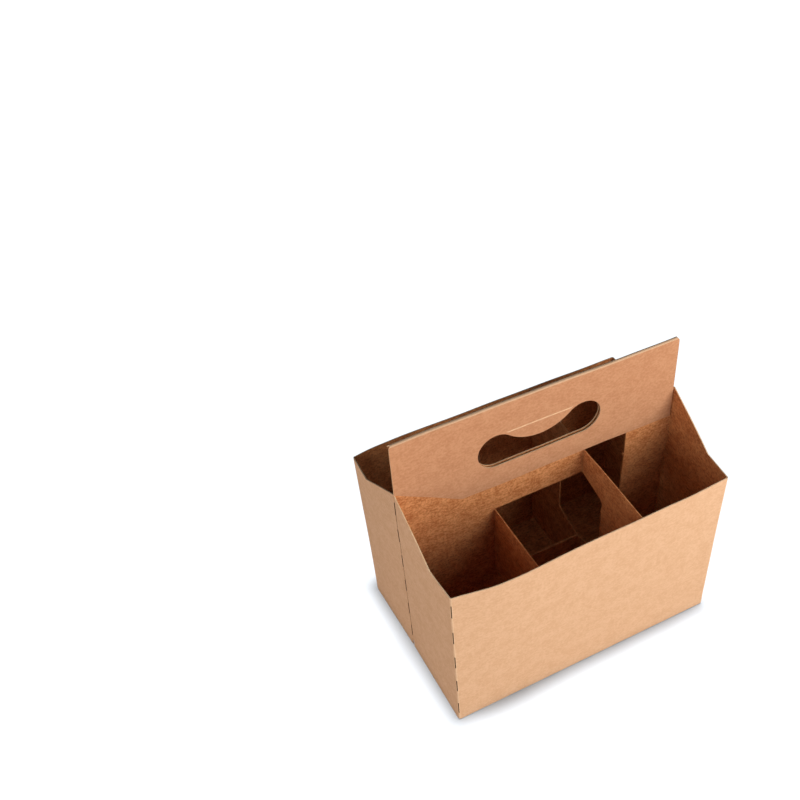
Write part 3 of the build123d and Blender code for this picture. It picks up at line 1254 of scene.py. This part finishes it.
@dataclass
class Handle:
    """The handle: two plies folded along the top edge, with the finger hole through both."""

    blank: Blank
    corner: float = 0.0025
    corner_blend: float = 0.0075
    hole_length: float = 0.087
    hole_height: float = 0.026
    hole_margin: float = 0.024
    flap_drop: float = 0.0122
    flap_steps: int = 4
    crease_inset: float = 0.0007
    crease_edge: float = 0.00075
    crease_width: float = 0.044
    crease_slits: int = 6
    crease_slit: float = 0.0035
    crease_depth: float = 0.25
    frame_x: float = 0.052
    frame_margin: float = 0.008
    slope_margin: float = 0.004
    back_inset: float = 0.0016
    fine_pitch: float = 0.0021
    name: str = "carrier_handle"

    @property
    def ply_y(self) -> float:
        """Distance of the middle of each ply from the middle plane, also the top fold's radius."""
        return self.blank.board + self.blank.board / 2

    @property
    def bend_z(self) -> float:
        """Height at which the plies start to bend over."""
        return self.blank.height - self.ply_y - self.blank.board / 2

    @property
    def lobe(self) -> tuple[float, float, float]:
        """Centre and radius of the hole's right lobe."""
        radius = self.hole_height / 2
        return self.hole_length / 2 - radius, self.hole_top - radius, radius

    @property
    def hole_top(self) -> float:
        """Highest point of the hole."""
        return self.blank.height - self.hole_margin

    @property
    def frame_low(self) -> float:
        """Lower side of the rectangle round the hole."""
        return self.hole_top - self.hole_height - self.frame_margin

    @property
    def frame_high(self) -> float:
        """Upper side of the rectangle round the hole."""
        return self.hole_top + self.frame_margin

    @property
    def crease_spans(self) -> Array:
        """Slits along the finger flap's crease."""
        half = self.crease_width / 2
        return slit_spans(-half, half, self.crease_slits, self.crease_slit)

    def x_lines(self) -> Array:
        """Grid lines along the handle.

        Returns:
            Their places, from left to right.
        """
        b, half = self.blank, self.crease_width / 2
        stops = [
            0.0, *self.crease_spans.ravel(), -b.handle_side, -b.handle_side + b.slope_run,
            self.corner - b.length / 2, b.handle_side - self.corner,
            *[side * value for side in (-1, 1) for value in (self.frame_x, half, self.lobe[0])],
        ]
        return rule(-b.length / 2, b.handle_side, self.fine_pitch, stops)

    def z_lines(self) -> Array:
        """Grid lines up the handle, as far as the bend.

        Returns:
            Their heights.
        """
        b = self.blank
        stops = (self.frame_low, self.frame_high, b.height - self.corner)
        return rule(b.handle_floor, self.bend_z, self.fine_pitch, stops)

    def rim_z(self, x: Array) -> Array:
        """Height of the hole's upper rim between the lobes' tops.

        The finger flap's edge is an arc whose radius is the one at which it touches both lobes.
        Outside the touching points the rim is the lobe's own circle.

        Args:
            x: Places along the handle, no further out than the lobes' centres.

        Returns:
            Height of the rim at each place.
        """
        lobe_x, lobe_z, radius = self.lobe
        lowest = self.hole_top - self.flap_drop
        rise = lowest - lobe_z
        arc = (lobe_x**2 + rise**2 - radius**2) / (2 * (radius - rise))
        touch = lobe_x - radius * cos(atan2(lowest + arc - lobe_z, lobe_x))
        flap = lowest + arc - np.sqrt(np.maximum(arc**2 - x**2, 0))
        round_top = lobe_z + np.sqrt(np.maximum(radius**2 - (np.abs(x) - lobe_x) ** 2, 0))
        return np.where(np.abs(x) < touch, flap, round_top)

    def upright(
        self, x: Array, z: Array, keep: Mask, fold: Array | None = None, slit: Mask | None = None
    ) -> Patch:
        """A patch of the front ply from grids of length and height on the flat sheet.

        Past the bend the height left over is travel round the top fold: the ply follows a circle
        whose radius is the ply's distance from the middle plane.

        Args:
            x: Grid of lengths.
            z: Grid of heights.
            keep: Cells that are there.
            fold: Fold mark of the grid.
            slit: Cells that are slit.

        Returns:
            The patch.
        """
        turn = np.clip((z - self.bend_z) / self.ply_y, 0, QUARTER)
        height = np.minimum(z, self.bend_z) + self.ply_y * np.sin(turn)
        over = np.clip(height - (self.blank.height - self.corner), 0, self.corner)
        inset = self.corner - np.sqrt(self.corner**2 - over**2)
        side = np.where(x < 0, self.blank.length / 2, self.blank.handle_side)
        edge = np.clip((np.abs(x) - side) / self.corner_blend + 1, 0, 1)
        points = np.dstack([x - np.sign(x) * inset * edge, -self.ply_y * np.cos(turn), height])
        return Patch.make(points, np.dstack([x, z]) + (HANDLE_PLACE, 0.0), keep, fold, slit)

    def field(self) -> Patch:
        """The ply outside the rectangle round the hole, with the top fold.

        Its lower edge slopes up at the left, and the grid lines under the rectangle are drawn up
        with it.

        Returns:
            The patch.
        """
        b = self.blank
        x, lines = self.x_lines(), self.z_lines()
        low, high = self.frame_low, self.frame_high
        slope = (-b.handle_side, -b.handle_side + b.slope_run)
        floor = np.interp(x, slope, (b.end_peak + b.edge_gap, b.handle_floor))[:, None]
        knee = np.maximum(low, floor + self.slope_margin)
        under = floor + (lines - b.handle_floor) / (low - b.handle_floor) * (knee - floor)
        beside = knee + (lines - low) / (high - low) * (high - knee)
        plane = np.where(lines < low, under, np.where(lines < high, beside, lines))
        bend = self.bend_z + self.ply_y * QUARTER * np.arange(1, FOLD_STEPS + 1) / FOLD_STEPS
        z = np.column_stack([plane, np.broadcast_to(bend, (len(x), FOLD_STEPS))])
        level = middles(z)
        keep = (np.abs(between(x)) > self.frame_x)[:, None] | (level < low) | (level > high)
        # The top fold takes the fold mark: pale rub and painted highlight along the handle's top edge.
        fold = np.broadcast_to(np.arange(z.shape[1]) > len(lines), z.shape).astype(float)
        return self.upright(np.broadcast_to(x[:, None], z.shape), z, keep, fold)

    def flap_levels(self, rim: Array) -> Array:
        """Grid lines over the hole: even steps up to the crease, close ones across it, then a rule.

        Args:
            rim: Height of the hole's rim at each station.

        Returns:
            A row of heights for each station, from the rim to the rectangle.
        """
        crease = self.hole_top - self.crease_inset
        half = self.blank.slit_width / 2
        across = crease + np.array([-self.crease_edge, -half, half])
        rows = np.append(across, rule(crease + self.crease_edge, self.frame_high, self.fine_pitch))
        steps = np.arange(self.flap_steps) / self.flap_steps
        below = rim[:, None] + (rows[0] - rim)[:, None] * steps
        return np.column_stack([below, np.broadcast_to(rows, (len(rim), len(rows)))])

    def flap(self) -> Patch:
        """The finger flap and the board over it, with the slit crease between them.

        Returns:
            The patch.
        """
        x = self.x_lines()
        x = x[np.abs(x) < self.crease_width / 2 + WELD]
        z = self.flap_levels(self.rim_z(x))
        crease = self.flap_steps + 1
        slit = np.zeros((len(x) - 1, z.shape[1] - 1), dtype=bool)
        slit[within(between(x), self.crease_spans), crease] = True
        # The crease takes the fold mark: painted highlight of light catching the crease's bead.
        fold = np.zeros_like(z)
        fold[:, crease:crease + 2] = 1
        return self.upright(np.broadcast_to(x[:, None], z.shape), z, np.ones_like(slit), fold, slit)

    def lobe_ring(self) -> Patch:
        """The board between the hole's right half and the rectangle round it.

        Each station on the rectangle, from its top past its right side to the middle of its foot,
        is joined by a straight line to the hole's rim: straight up or down beside the lobe, and
        towards the lobe's centre round it.

        Returns:
            The patch.
        """
        x, z = self.x_lines(), self.z_lines()
        lobe_x, lobe_z, radius = self.lobe
        half = self.crease_width / 2
        top = x[(x > half - WELD) & (x < self.frame_x + WELD)]
        side = z[(z > self.frame_low + WELD) & (z < self.frame_high - WELD)][::-1]
        foot = x[(x > -WELD) & (x < self.frame_x + WELD)][::-1]
        outer_x = np.concatenate([top, np.full_like(side, self.frame_x), foot])
        outer_z = np.concatenate([
            np.full_like(top, self.frame_high), side, np.full_like(foot, self.frame_low),
        ])
        away = np.hypot(outer_x - lobe_x, outer_z - lobe_z)
        beside = outer_x <= lobe_x
        inner_x = np.where(beside, outer_x, lobe_x + radius * (outer_x - lobe_x) / away)
        above = self.rim_z(np.minimum(outer_x, lobe_x))
        straight = np.where(outer_z > lobe_z, above, self.hole_top - self.hole_height)
        inner_z = np.where(beside, straight, lobe_z + radius * (outer_z - lobe_z) / away)
        levels = self.flap_levels(self.rim_z(np.array([half])))[0]
        share = (levels - levels[0]) / (self.frame_high - levels[0])
        grid_x = inner_x[:, None] + share * (outer_x - inner_x)[:, None]
        grid_z = inner_z[:, None] + share * (outer_z - inner_z)[:, None]
        return self.upright(grid_x, grid_z, np.ones((len(outer_x) - 1, len(share) - 1), dtype=bool))

    def drawn_in(self, patch: Patch) -> Patch:
        """Draws a ply's left side in, by nothing at the top fold and all of the inset further down.

        Args:
            patch: A patch of the ply, which is changed.

        Returns:
            The patch.
        """
        x, z = patch.points[..., 0], patch.points[..., 2]
        near = np.clip(1 - (x + self.blank.length / 2) / self.corner_blend, 0, 1)
        below = np.clip((self.bend_z - z) / self.corner, 0, 1)
        patch.points[..., 0] = x + self.back_inset * near * below
        return patch

    def build(self, settle: Settle, dressing: Dressing) -> bpy.types.Object:
        """Builds and dresses the handle.

        Args:
            settle: The settled shape.
            dressing: The finishes.

        Returns:
            The piece.
        """
        ring = self.lobe_ring()
        front = [self.field(), self.flap(), ring, ring.mirrored(0, 0.0)]
        back = [self.drawn_in(patch.mirrored(1, BACK_PLACE)) for patch in front]
        sheet = Sheet(self.name, self.blank.thickness, [*front, *back], self.crease_depth, Face.CUT)
        piece = sheet.build(settle)
        dressing.put_on(piece, HANDLE_KRAFT, MOTTLED_KRAFT, CUT_EDGE)
        return piece


@dataclass(frozen=True)
class Softbox:
    """A soft lamp aimed at the carrier, placed by its compass angle, height angle and distance."""

    name: str
    azimuth: float
    elevation: float
    distance: float
    size: float
    power: float
    colour: Colour = (1.0, 1.0, 1.0)

    def build(self, target: Vector) -> bpy.types.Object:
        """Makes the lamp.

        Args:
            target: The point it is aimed at.

        Returns:
            The lamp's object.
        """
        lamp = bpy.data.lights.new(self.name, "AREA")
        lamp.shape = "DISK"
        lamp.size = self.size
        lamp.energy = self.power
        lamp.color = self.colour
        made = bpy.data.objects.new(self.name, lamp)
        turn, lift = radians(self.azimuth), radians(self.elevation)
        back = Vector((sin(turn) * cos(lift), -cos(turn) * cos(lift), sin(lift)))
        made.location = target + back * self.distance
        made.rotation_euler = (-back).to_track_quat("-Z", "Y").to_euler()
        bpy.context.scene.collection.objects.link(made)
        return made


@dataclass
class Studio:
    """Floor, world, lamps and camera."""

    target: Vector = field(default_factory=lambda: Vector((0.0, 0.0, 0.07)))
    floor_half: float = 6.0
    floor_tone: Colour = (0.295, 0.31, 0.328)
    floor_bounce: Colour = (0.262, 0.212, 0.182)
    floor_lift: float = 0.26
    under_inset: tuple[float, float] = (0.003, 0.008)
    overhead_power: float = 8.0
    overhead_spread: float = 6.0
    overhead_tilt: tuple[float, float] = (-0.4, 1.0)
    ambient: float = 0.12
    ambient_tone: Colour = (0.75, 1.0, 1.25)
    azimuth: float = -24.948
    elevation: float = 45.589
    roll: float = -3.835
    distance: float = 0.74689
    slide: float = -0.060138
    lift: float = 0.055033
    lens: float = 48.779
    sensor: float = 36.0
    shift: tuple[float, float] = (-0.0624, 0.0637)
    lamps: tuple[Softbox, ...] = (
        Softbox("front_softbox", azimuth=25.0, elevation=21.0, distance=0.8, size=0.8, power=6.95),
        Softbox(
            "left_softbox", azimuth=-72.0, elevation=14.0, distance=0.62, size=0.4, power=1.0,
            colour=(1.0, 0.95, 0.92),
        ),
    )

    def floor(self, blank: Blank) -> bpy.types.Object:
        """A wide level floor, white to the camera, that keeps the carrier's shadow.

        Args:
            blank: The carrier, because the floor under it stays dark.

        Returns:
            The floor.
        """
        halves = np.array([blank.length, blank.width]) / 2 - self.under_inset
        lines = [np.array([-self.floor_half, -half, half, self.floor_half]) for half in halves]
        x, y = np.meshgrid(*lines, indexing="ij")
        index = np.arange(x.size).reshape(x.shape)
        cells = np.stack(cell_corners(index), axis=2).reshape(-1, 4)
        mesh = bpy.data.meshes.new("floor")
        points = np.column_stack([x.ravel(), y.ravel(), np.zeros(x.size)])
        mesh.from_pydata(points.tolist(), [], cells.tolist())
        made = bpy.data.objects.new("floor", mesh)
        bpy.context.scene.collection.objects.link(made)
        for name, lift in (("studio_floor", self.floor_lift), ("studio_floor_under", 0.0)):
            mesh.materials.append(self.floor_material(name, lift))
        mesh.polygons[len(cells) // 2].material_index = 1
        return made

    def floor_material(self, name: str, lift: float) -> bpy.types.Material:
        """A matt floor that glows for the rays that show a background, and is warmer for the others.

        Args:
            name: The material's name.
            lift: How much it glows.

        Returns:
            The material.
        """
        made = bpy.data.materials.new(name)
        made.use_nodes = True
        graph = Graph(made.node_tree)
        shader = made.node_tree.nodes["Principled BSDF"]
        shader.inputs["Roughness"].default_value = 1.0
        shader.inputs["Specular IOR Level"].default_value = 0.0
        shader.inputs["Emission Color"].default_value = (1, 1, 1, 1)
        seen = self.seen(graph)
        graph.link(graph.blend(seen, self.floor_bounce, self.floor_tone), shader.inputs["Base Color"])
        graph.link(graph.math("MULTIPLY", seen, lift), shader.inputs["Emission Strength"])
        return made

    def linked(self, floor: bpy.types.Object, state: str) -> bpy.types.Collection:
        """The receivers of a lamp that lights only the floor, or everything but the floor.

        Args:
            floor: The floor.
            state: INCLUDE for only the floor, EXCLUDE for everything else.

        Returns:
            The collection that the lamp is given.
        """
        receivers = bpy.data.collections.new(f"floor_{state.lower()}d")
        receivers.objects.link(floor)
        receivers.collection_objects[0].light_linking.link_state = state
        return receivers

    def overhead(self) -> bpy.types.Object:
        """A soft sun nearly straight above, for the narrow shadow at the carrier's foot.

        Returns:
            The lamp's object.
        """
        lamp = bpy.data.lights.new("overhead", "SUN")
        lamp.energy = self.overhead_power
        lamp.angle = radians(self.overhead_spread)
        made = bpy.data.objects.new("overhead", lamp)
        made.rotation_euler = (*map(radians, self.overhead_tilt), 0.0)
        bpy.context.scene.collection.objects.link(made)
        return made

    def seen(self, graph: Graph) -> Socket:
        """Tells the rays that show a background from those that light the carrier.

        Args:
            graph: The material or world that asks.

        Returns:
            A socket with one for the former and nought for the latter.
        """
        path = graph.add("ShaderNodeLightPath").outputs
        mirror = graph.math("MAXIMUM", path["Is Glossy Ray"], path["Is Transmission Ray"])
        return graph.math("MAXIMUM", path["Is Camera Ray"], mirror)

    def world(self) -> None:
        """A surround that is white to the camera, and lights the carrier faintly and coolly."""
        made = bpy.data.worlds.new("studio")
        made.use_nodes = True
        graph = Graph(made.node_tree)
        background = made.node_tree.nodes["Background"]
        dim = tuple(self.ambient * value for value in self.ambient_tone)
        graph.link(graph.blend(self.seen(graph), dim, (1.0, 1.0, 1.0)), background.inputs["Color"])
        bpy.context.scene.world = made

    def camera(self) -> bpy.types.Object:
        """The camera, turned round the target, rolled, and slid and lifted in its own plane.

        Returns:
            The camera's object.
        """
        turn, lift, roll = radians(self.azimuth), radians(self.elevation), radians(self.roll)
        back = Vector((sin(turn) * cos(lift), -cos(turn) * cos(lift), sin(lift)))
        level = Vector((cos(turn), sin(turn), 0.0))
        plumb = back.cross(level)
        right = level * cos(roll) + plumb * sin(roll)
        up = plumb * cos(roll) - level * sin(roll)
        data = bpy.data.cameras.new("camera")
        data.lens, data.sensor_width = self.lens, self.sensor
        data.shift_x, data.shift_y = self.shift
        made = bpy.data.objects.new("camera", data)
        place = self.target + back * self.distance + right * self.slide + up * self.lift
        made.matrix_world = Matrix.Translation(place) @ Matrix((right, up, back)).transposed().to_4x4()
        bpy.context.scene.collection.objects.link(made)
        bpy.context.scene.camera = made
        return made

    def build(self, blank: Blank) -> None:
        """Sets up the whole studio round the carrier.

        Args:
            blank: The carrier.
        """
        bpy.context.scene.view_settings.view_transform = "Standard"
        floor = self.floor(blank)
        self.world()
        self.overhead().light_linking.receiver_collection = self.linked(floor, "INCLUDE")
        others = self.linked(floor, "EXCLUDE")
        for lamp in self.lamps:
            lamp.build(self.target).light_linking.receiver_collection = others
        self.camera()


def main() -> None:
    """Builds the studio and the carrier, and reports each piece."""
    logging.basicConfig(level=logging.INFO, format="%(name)s: %(message)s")
    blank = Blank.from_frame()
    Studio().build(blank)
    settle = Settle(blank)
    dressing = Dressing()
    for part in (Body(blank), Handle(blank)):
        piece = part.build(settle, dressing)
        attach(piece, BODY)
        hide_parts(NODE)
        LOG.info("%s: %d faces", piece.name, len(piece.data.polygons))


if __name__ == "__main__":
    main()
